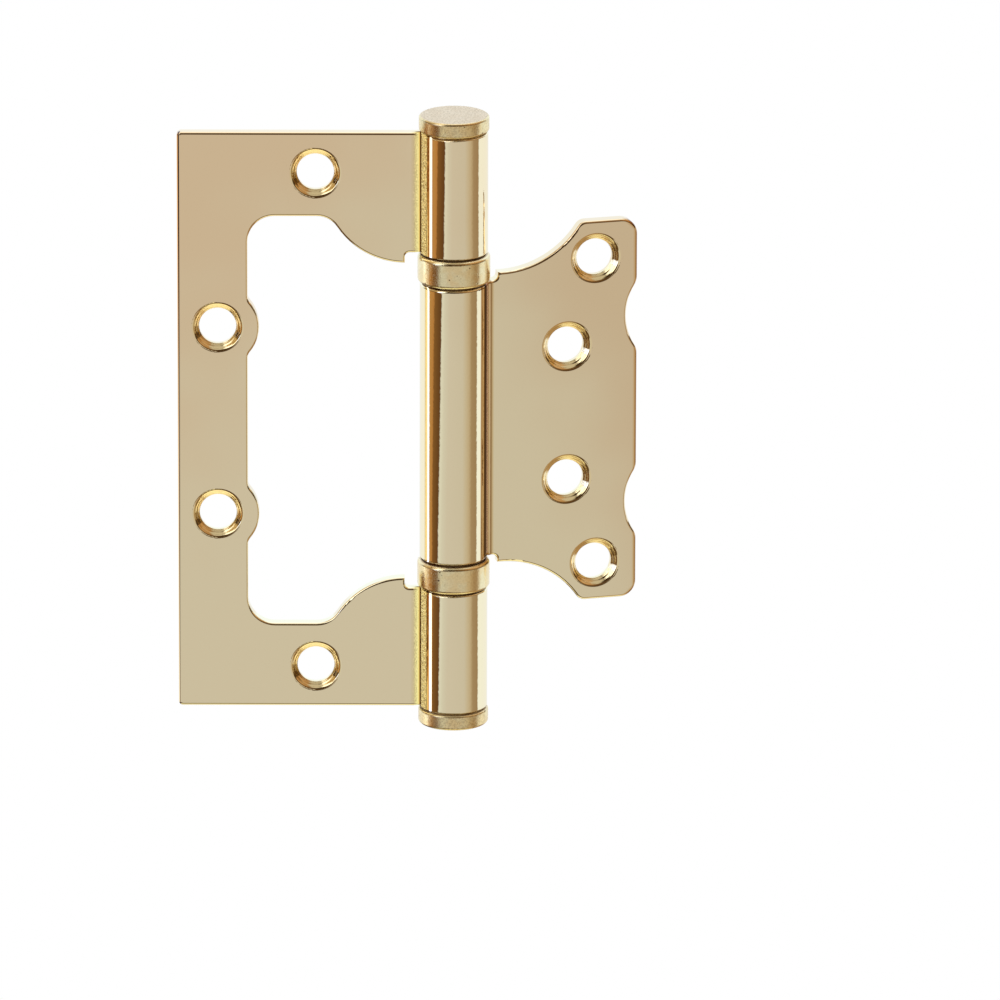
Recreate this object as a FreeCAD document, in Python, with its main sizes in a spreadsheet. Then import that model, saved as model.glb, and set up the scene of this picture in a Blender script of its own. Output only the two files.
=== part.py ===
import FreeCAD, Part
import Sketcher
import math
import os

# Flush door hinge with two ball bearings, in millimetres.
# Origin: middle of the two side screw holes, on the outer leaf's back face.
# +Z up along the pin, +Y out of the back face towards the door frame.

doc = FreeCAD.newDocument("flush_hinge")
sheet = doc.addObject("Spreadsheet::Sheet", "sizes")

SIZES = [
    # Sheet and knuckles
    ("leaf_height", 100.0, "height of the outer leaf, and of the knuckles with the bearings"),
    ("sheet_thickness", 2.0, "both leaves"),
    ("pin_diameter", 7.2, "hinge pin"),
    ("pin_clearance", 0.08, "between the pin and a knuckle's bore, on the radius"),
    ("bend_radius", 2.5, "middle of the sheet, where a leaf turns into its knuckle"),
    ("curl_end_angle", 15.0, "from the leaf's middle plane to the end of the rolled sheet"),
    ("outer_knuckle_length", 20.75, "top and bottom knuckle"),
    ("knuckle_rounding", 0.25, "outer edge of a knuckle's ends"),
    ("edge_rounding", 0.45, "edge that the stamping tool rolls over, on the screw side"),
    # Outer leaf
    ("outer_leaf_width", 46.0, "pin axis to the outer edge"),
    ("outer_corner_radius", 0.7, "outer corners"),
    ("bar_width", 11.7, "outer edge to the window"),
    ("end_band_width", 14.5, "leaf's end to the window"),
    ("window_corner_radius", 4.5, "window, outer corners"),
    ("neck_radius", 13.6, "round neck that carries a knuckle"),
    ("neck_offset", 8.0, "pin axis to the middle of the round neck"),
    ("neck_blend_radius", 4.0, "between the window's end and the neck"),
    ("side_hole_inset", 6.7, "outer edge to the side screw holes"),
    ("side_hole_spacing", 32.5, "between the side screw holes"),
    ("end_hole_offset", 23.0, "pin axis to the end screw holes"),
    ("end_hole_inset", 7.0, "leaf's end to the end screw holes"),
    ("boss_radius", 6.9, "round of the bar beside each side screw hole"),
    ("boss_blend_radius", 1.6, "between the bar and that round"),
    ("relief_depth", 1.8, "step of the neck past the knuckle's end"),
    ("relief_clearance", 2.1, "between the bearing ring and that step"),
    ("relief_radius", 0.8, "corner of that step"),
    # Inner leaf
    ("nest_gap", 2.95, "between the closed inner leaf and the window, at its free edge"),
    ("nest_end_gap", 2.45, "between the closed inner leaf and the window, at its ends"),
    ("inner_corner_radius", 2.75, "free corners"),
    ("scoop_radius", 15.7, "hollow curve above and below the inner leaf's neck"),
    ("scoop_wall", 1.68, "metal between that curve and the inner leaf's end screw holes"),
    ("scoop_tip_radius", 1.8, "where that curve meets the leaf's end"),
    ("inner_relief_depth", 1.35, "step of the inner leaf past its knuckle's end"),
    ("inner_relief_radius", 0.95, "corner of that step"),
    ("inner_relief_clearance", 1.36, "between the bearing ring and that step"),
    ("wave_blend_radius", 3.0, "between the free edge and a wave"),
    ("inner_end_hole_inset", 7.15, "free edge to the inner leaf's end screw holes"),
    ("inner_end_hole_drop", 6.45, "inner leaf's end to those holes"),
    ("inner_mid_hole_inset", 12.05, "free edge to the inner leaf's middle screw holes"),
    ("inner_mid_hole_spacing", 23.2, "between those holes"),
    ("swing_back", 14.5, "degrees that the inner leaf stands past the flat position"),
    # Screw holes
    ("screw_hole_diameter", 6.2, "all eight"),
    ("countersink_diameter", 8.5, "all eight"),
    ("countersink_angle", 90.0, "whole angle"),
    ("hole_rim_rounding", 0.35, "between a countersink and the leaf's face"),
    # Caps
    ("cap_diameter", 11.7, "head"),
    ("cap_height", 2.85, "top of the head above the knuckle's end"),
    ("cap_edge_radius", 0.45, "outer edge"),
    ("cap_seat_rounding", 0.35, "edge next to the knuckle"),
    ("cap_gap", 0.3, "between the rim of the head and the knuckle's end"),
    ("collar_diameter", 9.4, "step under the head that stands on the knuckle's end"),
    ("shank_length", 4.0, "pressed into the knuckle"),
    ("pin_end_chamfer", 0.5, "both ends of the pin"),
    # Bearings
    ("bearing_height", 5.3, "from knuckle to knuckle"),
    ("ring_overhang", 0.37, "bearing shell past the knuckles, on the radius"),
    ("ring_wall", 0.65, "bearing shell"),
    ("ring_end_gap", 0.3, "between the shell and each knuckle"),
    ("ring_edge_radius", 0.6, "rims of the shell"),
    ("race_bore_clearance", 0.15, "between the pin and a race or cage, on the radius"),
    ("race_running_clearance", 0.08, "between the shell and what turns in it, on the radius"),
    ("ball_diameter", 1.2, "steel balls"),
    ("ball_count", 9, "in each bearing"),
    ("ball_play", 0.02, "between a ball and its grooves"),
    ("groove_depth", 0.15, "ball groove in a race"),
    ("cage_thickness", 0.6, "ball cage"),
    ("cage_pocket_clearance", 0.06, "between a ball and its pocket, on the radius"),
]
for row, (alias, value, meaning) in enumerate(SIZES, start=1):
    sheet.set("A%d" % row, alias)
    sheet.set("B%d" % row, str(value))
    sheet.set("C%d" % row, meaning)
    sheet.setAlias("B%d" % row, alias)

# Sizes that follow from the ones above, as formulas of the sheet
DERIVED = [
    ("half_height", "leaf_height / 2"),
    ("half_sheet", "sheet_thickness / 2"),
    ("bore_radius", "pin_diameter / 2 + pin_clearance"),
    ("knuckle_radius", "bore_radius + sheet_thickness"),
    ("curl_radius", "bore_radius + half_sheet"),
    ("bend_offset", "sqrt(curl_radius * (curl_radius + 2 * bend_radius))"),
    ("outer_knuckle_end", "half_height - outer_knuckle_length"),
    ("middle_knuckle_end", "outer_knuckle_end - bearing_height"),
    ("bearing_middle", "outer_knuckle_end - bearing_height / 2"),
    ("bar_offset", "outer_leaf_width - bar_width"),
    ("window_half_height", "half_height - end_band_width"),
    ("side_hole_offset", "outer_leaf_width - side_hole_inset"),
    ("side_hole_height", "side_hole_spacing / 2"),
    ("end_hole_height", "half_height - end_hole_inset"),
    ("ring_radius", "knuckle_radius + ring_overhang"),
    ("relief_offset", "ring_radius + relief_clearance"),
    ("neck_low", "outer_knuckle_end - relief_depth"),
    ("inner_leaf_width", "bar_offset - nest_gap"),
    ("inner_half_height", "window_half_height - nest_end_gap"),
    ("inner_end_hole_offset", "inner_leaf_width - inner_end_hole_inset"),
    ("inner_end_hole_height", "inner_half_height - inner_end_hole_drop"),
    ("inner_mid_hole_offset", "inner_leaf_width - inner_mid_hole_inset"),
    ("inner_mid_hole_height", "inner_mid_hole_spacing / 2"),
    ("inner_relief_offset", "ring_radius + inner_relief_clearance"),
    ("scoop_low", "middle_knuckle_end + inner_relief_depth"),
    ("scoop_high", "scoop_low + scoop_radius"),
    ("scoop_to_hole", "scoop_radius + scoop_wall + countersink_diameter / 2"),
    ("scoop_offset",
     "inner_end_hole_offset - sqrt(scoop_to_hole ^ 2 - (scoop_high - inner_end_hole_height) ^ 2)"),
    ("wave_radius", "boss_radius + nest_gap"),
    ("ring_height", "bearing_height - 2 * ring_end_gap"),
    ("ring_bore_radius", "ring_radius - ring_wall"),
    ("race_bore_radius", "pin_diameter / 2 + race_bore_clearance"),
    ("ball_circle_radius", "(race_bore_radius + ring_bore_radius) / 2"),
    ("race_height", "(bearing_height - ball_diameter) / 2 + groove_depth - ball_play"),
    ("running_race_radius", "ring_bore_radius - race_running_clearance"),
    ("groove_radius", "ball_diameter / 2 + ball_play"),
    ("cage_radius", "ring_bore_radius - race_running_clearance"),
    ("pocket_radius", "ball_diameter / 2 + cage_pocket_clearance"),
    ("pin_length", "leaf_height - 2 * shank_length"),
]
for row, (alias, formula) in enumerate(DERIVED, start=len(SIZES) + 2):
    sheet.set("A%d" % row, alias)
    sheet.set("B%d" % row, "=" + formula)
    sheet.setAlias("B%d" % row, alias)
doc.recompute()


def size(alias):
    """Value of a named cell."""
    return float(sheet.get(alias))


def new_body(name):
    """Empty body with the name of its sub-part."""
    body = doc.addObject("PartDesign::Body", name)
    body.Label = name
    return body


def origin_plane(body, role):
    """One of the body's own origin planes."""
    for feature in body.Origin.OriginFeatures:
        if feature.Role == role:
            return feature


def new_sketch(body, name, role, offset=None):
    """Sketch on an origin plane, moved along the plane's normal by a named size."""
    sketch = body.newObject("Sketcher::SketchObject", name)
    sketch.AttachmentSupport = [(origin_plane(body, role), "")]
    sketch.MapMode = "FlatFace"
    if offset:
        sketch.setExpression("AttachmentOffset.Base.z", offset)
    return sketch


def point(x, y):
    return FreeCAD.Vector(x, y, 0)


def line(start, end, dims=()):
    """Step of an outline: a straight edge."""
    return {"start": start, "end": end, "dims": dims}


def arc(centre, radius, start_angle, end_angle, dims=()):
    """Step of an outline: a round edge, anticlockwise where the angle grows."""
    ends = []
    for angle in (start_angle, end_angle):
        turn = math.radians(angle)
        ends.append((centre[0] + radius * math.cos(turn), centre[1] + radius * math.sin(turn)))
    return {"start": ends[0], "end": ends[1], "centre": centre, "radius": radius,
            "angles": (start_angle, end_angle), "dims": dims}


def heading(step, at_end):
    """Direction of travel at one end of a step, in radians."""
    if "centre" not in step:
        return math.atan2(step["end"][1] - step["start"][1], step["end"][0] - step["start"][0])
    start_angle, end_angle = step["angles"]
    quarter = math.pi / 2 if end_angle > start_angle else -math.pi / 2
    return math.radians(end_angle if at_end else start_angle) + quarter


SMOOTH_ANGLE = 1e-4


def draw_outline(sketch, steps):
    """Draws a closed outline. Neighbours are joined, and tangent where they meet smoothly."""
    first = sketch.GeometryCount
    for step in steps:
        if "centre" in step:
            circle = Part.Circle(point(*step["centre"]), FreeCAD.Vector(0, 0, 1), step["radius"])
            low, high = sorted(math.radians(angle) for angle in step["angles"])
            sketch.addGeometry(Part.ArcOfCircle(circle, low, high), False)
        else:
            sketch.addGeometry(Part.LineSegment(point(*step["start"]), point(*step["end"])), False)
    for index, step in enumerate(steps):
        after = steps[(index + 1) % len(steps)]
        geometry = first + index
        next_geometry = first + (index + 1) % len(steps)
        clockwise = "centre" in step and step["angles"][1] < step["angles"][0]
        next_clockwise = "centre" in after and after["angles"][1] < after["angles"][0]
        end = 1 if clockwise else 2
        next_start = 2 if next_clockwise else 1
        turn = heading(after, False) - heading(step, True)
        smooth = abs(math.remainder(turn, 2 * math.pi)) < SMOOTH_ANGLE
        if smooth and ("centre" in step or "centre" in after):
            joint = Sketcher.Constraint("Tangent", geometry, end, next_geometry, next_start)
        else:
            joint = Sketcher.Constraint("Coincident", geometry, end, next_geometry, next_start)
        sketch.addConstraint(joint)
    for index, step in enumerate(steps):
        geometry = first + index
        if "centre" not in step:
            if abs(step["start"][0] - step["end"][0]) < SMOOTH_ANGLE:
                sketch.addConstraint(Sketcher.Constraint("Vertical", geometry))
            elif abs(step["start"][1] - step["end"][1]) < SMOOTH_ANGLE:
                sketch.addConstraint(Sketcher.Constraint("Horizontal", geometry))
        for kind, formula in step["dims"]:
            dimension(sketch, geometry, step, kind, formula)


def dimension(sketch, geometry, step, kind, formula):
    """Binds one size of a step to the sheet: a radius, or how far a point lies from the axes."""
    if kind == "centre origin":
        sketch.addConstraint(Sketcher.Constraint("Coincident", geometry, 3, -1, 1))
        return
    if kind in ("start on axis", "end on axis"):
        corner = 1 if kind.startswith("start") else 2
        sketch.addConstraint(Sketcher.Constraint("PointOnObject", geometry, corner, -1))
        return
    if kind == "radius":
        constraint = Sketcher.Constraint("Radius", geometry, step["radius"])
    else:
        place, direction = kind.split()
        corner = {"start": 1, "end": 2, "centre": 3}[place]
        left, up = -step[place][0], step[place][1]
        constraint = {
            "left": Sketcher.Constraint("DistanceX", geometry, corner, -1, 1, left),
            "right": Sketcher.Constraint("DistanceX", -1, 1, geometry, corner, -left),
            "up": Sketcher.Constraint("DistanceY", -1, 1, geometry, corner, up),
            "down": Sketcher.Constraint("DistanceY", geometry, corner, -1, 1, -up),
        }[direction]
    index = sketch.addConstraint(constraint)
    sketch.setExpression("Constraints[%d]" % index, formula)


# Leaf sections: the sheet, its bend and the rolled knuckle

TOUCH = 1e-4


def leaf_section(body, width_alias):
    """Sheet that runs left from the pin, turns back and rolls once round the pin."""
    width = size(width_alias)
    half_sheet = size("half_sheet")
    bend_radius = size("bend_radius")
    bend_centre = (-size("bend_offset"), bend_radius)
    bend_end = math.degrees(math.atan2(-bend_radius, size("bend_offset")))
    bore_radius = size("bore_radius")
    knuckle_radius = size("knuckle_radius")
    roll_start = 180 + bend_end
    roll_end = size("curl_end_angle") - 180
    lift = "sin(sizes.curl_end_angle * 1 deg)"

    front_bend = arc(bend_centre, bend_radius + half_sheet, -90, bend_end,
                     [("radius", "sizes.bend_radius + sizes.half_sheet")])
    bore = arc((0, 0), bore_radius, roll_start, roll_end,
               [("radius", "sizes.bore_radius"), ("centre origin", "")])
    outside = arc((0, 0), knuckle_radius, roll_end, roll_start,
                  [("radius", "sizes.knuckle_radius"), ("centre origin", "")])
    back_bend = arc(bend_centre, bend_radius - half_sheet, bend_end, -90,
                    [("radius", "sizes.bend_radius - sizes.half_sheet")])
    sketch = new_sketch(body, body.Name + "_section", "XY_Plane")
    draw_outline(sketch, [
        line((-width, -half_sheet), front_bend["start"],
             [("start left", "sizes." + width_alias), ("start down", "sizes.half_sheet")]),
        front_bend,
        bore,
        line(bore["end"], outside["start"],
             [("start down", "sizes.bore_radius * " + lift),
              ("end down", "sizes.knuckle_radius * " + lift)]),
        outside,
        back_bend,
        line(back_bend["end"], (-width, half_sheet), [("start up", "sizes.half_sheet")]),
        line((-width, half_sheet), (-width, -half_sheet)),
    ])
    return sketch


def pad_between(body, sketch, length_formula):
    """Pad of a sketch, half to each side of it."""
    pad = body.newObject("PartDesign::Pad", body.Name + "_pad")
    pad.Profile = sketch
    pad.SideType = "Symmetric"
    pad.setExpression("Length", length_formula)
    doc.recompute()
    return pad


def cut_through(body, name, sketch):
    """Pocket through the leaf and its knuckle, to both sides of the middle plane."""
    pocket = body.newObject("PartDesign::Pocket", body.Name + name)
    pocket.Profile = sketch
    pocket.SideType = "Symmetric"
    pocket.setExpression("Length", "4 * sizes.knuckle_radius")
    doc.recompute()
    return pocket


def mirror_down(body, name, features):
    """The same features below the middle of the hinge."""
    mirrored = body.newObject("PartDesign::Mirrored", body.Name + name)
    mirrored.Originals = features
    mirrored.MirrorPlane = (origin_plane(body, "XY_Plane"), [""])
    body.Tip = mirrored
    doc.recompute()
    return mirrored


def screw_holes(body, name, places, screw_side):
    """Countersunk holes. screw_side is -1 for the front face and +1 for the back face."""
    offset = "sizes.half_sheet" if screw_side < 0 else "-sizes.half_sheet"
    sketch = new_sketch(body, body.Name + name + "_centres", "XZ_Plane", offset)
    for place in places:
        centre = point(-size(place + "_offset"), size(place + "_height"))
        circle = Part.Circle(centre, FreeCAD.Vector(0, 0, 1), size("screw_hole_diameter") / 2)
        geometry = sketch.addGeometry(circle, False)
        for constraint, formula in (
                (Sketcher.Constraint("Diameter", geometry, size("screw_hole_diameter")),
                 "sizes.screw_hole_diameter"),
                (Sketcher.Constraint("DistanceX", geometry, 3, -1, 1, -centre.x),
                 "sizes.%s_offset" % place),
                (Sketcher.Constraint("DistanceY", -1, 1, geometry, 3, centre.y),
                 "sizes.%s_height" % place)):
            index = sketch.addConstraint(constraint)
            sketch.setExpression("Constraints[%d]" % index, formula)
    doc.recompute()
    hole = body.newObject("PartDesign::Hole", body.Name + name)
    hole.Profile = sketch
    hole.Reversed = screw_side > 0
    hole.DepthType = "ThroughAll"
    hole.HoleCutType = "Countersink"
    hole.HoleCutCustomValues = True
    hole.setExpression("Diameter", "sizes.screw_hole_diameter")
    hole.setExpression("HoleCutDiameter", "sizes.countersink_diameter")
    hole.setExpression("HoleCutCountersinkAngle", "sizes.countersink_angle")
    doc.recompute()
    mirror_down(body, name + "_mirrored", [hole])
    level = screw_side * size("half_sheet")

    def at_rim(edge):
        box = edge.BoundBox
        if not isinstance(edge.Curve, Part.Circle) or box.YLength > TOUCH:
            return False
        wide = abs(edge.Curve.Radius - size("countersink_diameter") / 2) < TOUCH
        return wide and abs(box.YMin - level) < TOUCH

    return round_edges(body, name + "_rims", at_rim, "hole_rim_rounding")


def edge_names(shape, wanted):
    """Names of the edges for which the test holds."""
    return ["Edge%d" % number for number, edge in enumerate(shape.Edges, start=1) if wanted(edge)]


def round_edges(body, name, wanted, radius_alias):
    """Rounds the edges of the finished shape for which the test holds."""
    base = body.Tip
    fillet = body.newObject("PartDesign::Fillet", body.Name + name)
    fillet.Base = (base, edge_names(base.Shape, wanted))
    fillet.setExpression("Radius", "sizes." + radius_alias)
    body.Tip = fillet
    doc.recompute()
    return fillet


def roll_stamped_edges(body, screw_side):
    """The outline's edges on the screw side, which stamping rounds over."""
    level = screw_side * size("half_sheet")
    rim = []
    for face in body.Tip.Shape.Faces:
        box = face.BoundBox
        if box.YLength < TOUCH and abs(box.YMin - level) < TOUCH:
            rim += face.OuterWire.Edges

    def on_rim(edge):
        at_bend = edge.BoundBox.XLength < TOUCH and abs(edge.BoundBox.XMin + size("bend_offset")) < TOUCH
        return not at_bend and any(edge.isSame(other) for other in rim)

    return round_edges(body, "_rolled_edges", on_rim, "edge_rounding")


def round_knuckle_ends(body, levels):
    """The outside edges of the knuckles, at the heights named."""
    heights = [size(level) for level in levels]

    def at_end(edge):
        box = edge.BoundBox
        if not isinstance(edge.Curve, Part.Circle) or box.ZLength > TOUCH:
            return False
        outside = abs(edge.Curve.Radius - size("knuckle_radius")) < TOUCH
        return outside and any(abs(abs(box.ZMin) - height) < TOUCH for height in heights)

    return round_edges(body, "_knuckle_ends", at_end, "knuckle_rounding")


def turning(centre, target):
    """Angle of the line from one centre to another, in degrees."""
    return math.degrees(math.atan2(target[1] - centre[1], target[0] - centre[0]))


# Outer leaf

outer_leaf = new_body("outer_leaf")


def window_outline():
    """Upper half of the window, and of the gap between the outer knuckles."""
    bar = -size("bar_offset")
    hole = (-size("side_hole_offset"), size("side_hole_height"))
    boss_radius = size("boss_radius")
    boss_blend = size("boss_blend_radius")
    blend_x = bar + boss_blend
    blend_rise = math.sqrt((boss_radius + boss_blend) ** 2 - (blend_x - hole[0]) ** 2)
    low_blend_centre = (blend_x, hole[1] - blend_rise)
    high_blend_centre = (blend_x, hole[1] + blend_rise)
    window_end = size("window_half_height")
    corner_radius = size("window_corner_radius")
    neck_radius = size("neck_radius")
    neck_centre = (-size("neck_offset"), size("neck_low") + neck_radius)
    neck_blend = size("neck_blend_radius")
    neck_rise = neck_centre[1] - (window_end - neck_blend)
    neck_reach = math.sqrt((neck_radius + neck_blend) ** 2 - neck_rise ** 2)
    neck_blend_centre = (neck_centre[0] - neck_reach, window_end - neck_blend)
    relief_x = -size("relief_offset")
    relief_radius = size("relief_radius")
    knuckle_end = size("outer_knuckle_end")
    past_knuckle = size("knuckle_radius") + size("sheet_thickness")
    neck_end_angle = 360 - math.degrees(math.acos((relief_x - neck_centre[0]) / neck_radius))

    low_blend = arc(low_blend_centre, boss_blend, 180, turning(low_blend_centre, hole),
                    [("radius", "sizes.boss_blend_radius")])
    boss = arc(hole, boss_radius, turning(hole, low_blend_centre), turning(hole, high_blend_centre),
               [("radius", "sizes.boss_radius"), ("centre left", "sizes.side_hole_offset"),
                ("centre up", "sizes.side_hole_height")])
    high_blend = arc(high_blend_centre, boss_blend, 360 + turning(high_blend_centre, hole), 180,
                     [("radius", "sizes.boss_blend_radius")])
    corner = arc((bar + corner_radius, window_end - corner_radius), corner_radius, 180, 90,
                 [("radius", "sizes.window_corner_radius")])
    neck_turn = turning(neck_blend_centre, neck_centre)
    blend = arc(neck_blend_centre, neck_blend, 90, neck_turn,
                [("radius", "sizes.neck_blend_radius")])
    neck = arc(neck_centre, neck_radius, 180 + neck_turn, neck_end_angle,
               [("radius", "sizes.neck_radius"), ("centre left", "sizes.neck_offset"),
                ("centre up", "sizes.neck_low + sizes.neck_radius")])
    relief = arc((relief_x + relief_radius, knuckle_end - relief_radius), relief_radius, 180, 90,
                 [("radius", "sizes.relief_radius")])
    return [
        line((bar, 0), low_blend["start"],
             [("start left", "sizes.bar_offset"), ("start on axis", "")]),
        low_blend,
        boss,
        high_blend,
        line(high_blend["end"], corner["start"], [("start left", "sizes.bar_offset")]),
        corner,
        line(corner["end"], blend["start"], [("start up", "sizes.window_half_height")]),
        blend,
        neck,
        line(neck["end"], relief["start"], [("start left", "sizes.relief_offset")]),
        relief,
        line(relief["end"], (past_knuckle, knuckle_end),
             [("start up", "sizes.outer_knuckle_end"),
              ("end right", "sizes.knuckle_radius + sizes.sheet_thickness")]),
        line((past_knuckle, knuckle_end), (past_knuckle, 0)),
        line((past_knuckle, 0), (bar, 0)),
    ]


pad_between(outer_leaf, leaf_section(outer_leaf, "outer_leaf_width"), "sizes.leaf_height")
window_sketch = new_sketch(outer_leaf, "window_outline", "XZ_Plane")
draw_outline(window_sketch, window_outline())
window_cut = cut_through(outer_leaf, "_window", window_sketch)
mirror_down(outer_leaf, "_window_mirrored", [window_cut])
screw_holes(outer_leaf, "_holes", ["side_hole", "end_hole"], -1)


def at_outer_corner(edge):
    """Short edges through the sheet at the two corners of the outer edge."""
    box = edge.BoundBox
    return (box.XLength < TOUCH and box.ZLength < TOUCH
            and abs(box.XMin + size("outer_leaf_width")) < TOUCH)


round_edges(outer_leaf, "_corners", at_outer_corner, "outer_corner_radius")
roll_stamped_edges(outer_leaf, -1)
round_knuckle_ends(outer_leaf, ["outer_knuckle_end", "half_height"])


# Inner leaf. It is drawn lying to the left like the outer leaf, then turned round the pin.

inner_leaf = new_body("inner_leaf")


def stamped_outline():
    """What the stamping tool takes off the upper half of the inner leaf."""
    free_edge = -size("inner_leaf_width")
    top = size("inner_half_height")
    knuckle_end = size("middle_knuckle_end")
    relief_x = -size("inner_relief_offset")
    relief_radius = size("inner_relief_radius")
    scoop_radius = size("scoop_radius")
    scoop_centre = (-size("scoop_offset"), size("scoop_high"))
    scoop_start = 360 - math.degrees(math.acos((relief_x - scoop_centre[0]) / scoop_radius))
    tip_radius = size("scoop_tip_radius")
    tip_rise = scoop_centre[1] - (top - tip_radius)
    tip_reach = math.sqrt((scoop_radius + tip_radius) ** 2 - tip_rise ** 2)
    tip_centre = (scoop_centre[0] - tip_reach, top - tip_radius)
    tip_turn = turning(tip_centre, scoop_centre)
    corner_radius = size("inner_corner_radius")
    wave_radius = size("wave_radius")
    wave_blend = size("wave_blend_radius")
    wave_centre = (-size("side_hole_offset"), size("side_hole_height"))
    blend_x = free_edge + wave_blend
    blend_rise = math.sqrt((wave_radius + wave_blend) ** 2 - (blend_x - wave_centre[0]) ** 2)
    high_blend_centre = (blend_x, wave_centre[1] + blend_rise)
    low_blend_centre = (blend_x, wave_centre[1] - blend_rise)
    past_knuckle = size("knuckle_radius") + size("sheet_thickness")
    past_edge = free_edge - size("sheet_thickness")
    past_top = top + size("sheet_thickness")

    relief = arc((relief_x + relief_radius, knuckle_end + relief_radius), relief_radius, 270, 180,
                 [("radius", "sizes.inner_relief_radius")])
    scoop = arc(scoop_centre, scoop_radius, scoop_start, 180 + tip_turn,
                [("radius", "sizes.scoop_radius"), ("centre left", "sizes.scoop_offset"),
                 ("centre up", "sizes.scoop_high")])
    tip = arc(tip_centre, tip_radius, tip_turn, 90, [("radius", "sizes.scoop_tip_radius")])
    corner = arc((free_edge + corner_radius, top - corner_radius), corner_radius, 90, 180,
                 [("radius", "sizes.inner_corner_radius")])
    high_blend = arc(high_blend_centre, wave_blend, 180, 360 + turning(high_blend_centre, wave_centre),
                     [("radius", "sizes.wave_blend_radius")])
    wave = arc(wave_centre, wave_radius, turning(wave_centre, high_blend_centre),
               turning(wave_centre, low_blend_centre),
               [("radius", "sizes.wave_radius"), ("centre left", "sizes.side_hole_offset"),
                ("centre up", "sizes.side_hole_height")])
    low_blend = arc(low_blend_centre, wave_blend, turning(low_blend_centre, wave_centre), 180,
                    [("radius", "sizes.wave_blend_radius")])
    return [
        line((past_knuckle, knuckle_end), relief["start"],
             [("start up", "sizes.middle_knuckle_end"),
              ("start right", "sizes.knuckle_radius + sizes.sheet_thickness")]),
        relief,
        line(relief["end"], scoop["start"], [("start left", "sizes.inner_relief_offset")]),
        scoop,
        tip,
        line(tip["end"], corner["start"], [("start up", "sizes.inner_half_height")]),
        corner,
        line(corner["end"], high_blend["start"], [("start left", "sizes.inner_leaf_width")]),
        high_blend,
        wave,
        low_blend,
        line(low_blend["end"], (free_edge, 0),
             [("end left", "sizes.inner_leaf_width"), ("end on axis", "")]),
        line((free_edge, 0), (past_edge, 0),
             [("end left", "sizes.inner_leaf_width + sizes.sheet_thickness")]),
        line((past_edge, 0), (past_edge, past_top),
             [("end up", "sizes.inner_half_height + sizes.sheet_thickness")]),
        line((past_edge, past_top), (past_knuckle, past_top)),
        line((past_knuckle, past_top), (past_knuckle, knuckle_end)),
    ]


pad_between(inner_leaf, leaf_section(inner_leaf, "inner_leaf_width"), "2 * sizes.inner_half_height")
stamp_sketch = new_sketch(inner_leaf, "stamped_outline", "XZ_Plane")
draw_outline(stamp_sketch, stamped_outline())
stamp_cut = cut_through(inner_leaf, "_stamping", stamp_sketch)
mirror_down(inner_leaf, "_stamping_mirrored", [stamp_cut])
screw_holes(inner_leaf, "_holes", ["inner_end_hole", "inner_mid_hole"], 1)
roll_stamped_edges(inner_leaf, 1)


# Turned pieces: each outline is half a section, right of the axis

def turned_body(name, outline):
    """Body turned from an outline in the plane of the axis."""
    body = new_body(name)
    sketch = new_sketch(body, name + "_outline", "XZ_Plane")
    draw_outline(sketch, outline)
    turned = body.newObject("PartDesign::Revolution", name + "_turned")
    turned.Profile = sketch
    turned.ReferenceAxis = (sketch, ["V_Axis"])
    turned.Angle = 360
    body.Tip = turned
    doc.recompute()
    return body


# Pin

def pin_outline():
    """Straight rod with a chamfer at each end."""
    radius = size("pin_diameter") / 2
    chamfer = size("pin_end_chamfer")
    end = size("pin_length") / 2
    return [
        line((0, -end), (radius - chamfer, -end),
             [("start down", "sizes.pin_length / 2"),
              ("end right", "sizes.pin_diameter / 2 - sizes.pin_end_chamfer")]),
        line((radius - chamfer, -end), (radius, chamfer - end),
             [("end down", "sizes.pin_length / 2 - sizes.pin_end_chamfer")]),
        line((radius, chamfer - end), (radius, end - chamfer),
             [("start right", "sizes.pin_diameter / 2"),
              ("end up", "sizes.pin_length / 2 - sizes.pin_end_chamfer")]),
        line((radius, end - chamfer), (radius - chamfer, end),
             [("end right", "sizes.pin_diameter / 2 - sizes.pin_end_chamfer")]),
        line((radius - chamfer, end), (0, end), [("end up", "sizes.pin_length / 2")]),
        line((0, end), (0, -end), [("start left", "0")]),
    ]


hinge_pin = turned_body("hinge_pin", pin_outline())


# Caps: a round head on a shank that is pressed into the knuckle's bore

def cap_outline():
    """Head and its collar above the knuckle's end, shank below it."""
    shank_radius = size("bore_radius")
    shank_length = size("shank_length")
    collar_radius = size("collar_diameter") / 2
    radius = size("cap_diameter") / 2
    height = size("cap_height")
    edge = size("cap_edge_radius")
    seat = size("cap_seat_rounding")
    gap = size("cap_gap")
    seat_arc = arc((radius - seat, gap + seat), seat, -90, 0, [("radius", "sizes.cap_seat_rounding")])
    edge_arc = arc((radius - edge, height - edge), edge, 0, 90, [("radius", "sizes.cap_edge_radius")])
    return [
        line((0, -shank_length), (shank_radius, -shank_length),
             [("start down", "sizes.shank_length"), ("end right", "sizes.bore_radius")]),
        line((shank_radius, -shank_length), (shank_radius, 0)),
        line((shank_radius, 0), (collar_radius, 0),
             [("start on axis", ""), ("end right", "sizes.collar_diameter / 2")]),
        line((collar_radius, 0), (collar_radius, gap)),
        line((collar_radius, gap), seat_arc["start"], [("start up", "sizes.cap_gap")]),
        seat_arc,
        line(seat_arc["end"], edge_arc["start"], [("start right", "sizes.cap_diameter / 2")]),
        edge_arc,
        line(edge_arc["end"], (0, height), [("end up", "sizes.cap_height")]),
        line((0, height), (0, -shank_length), [("start left", "0")]),
    ]


top_cap = turned_body("top_cap", cap_outline())
bottom_cap = turned_body("bottom_cap", cap_outline())


# Ball bearings. Each has a shell, a race pressed into it, a race that turns in it,
# and a cage that keeps the balls apart.

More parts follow.
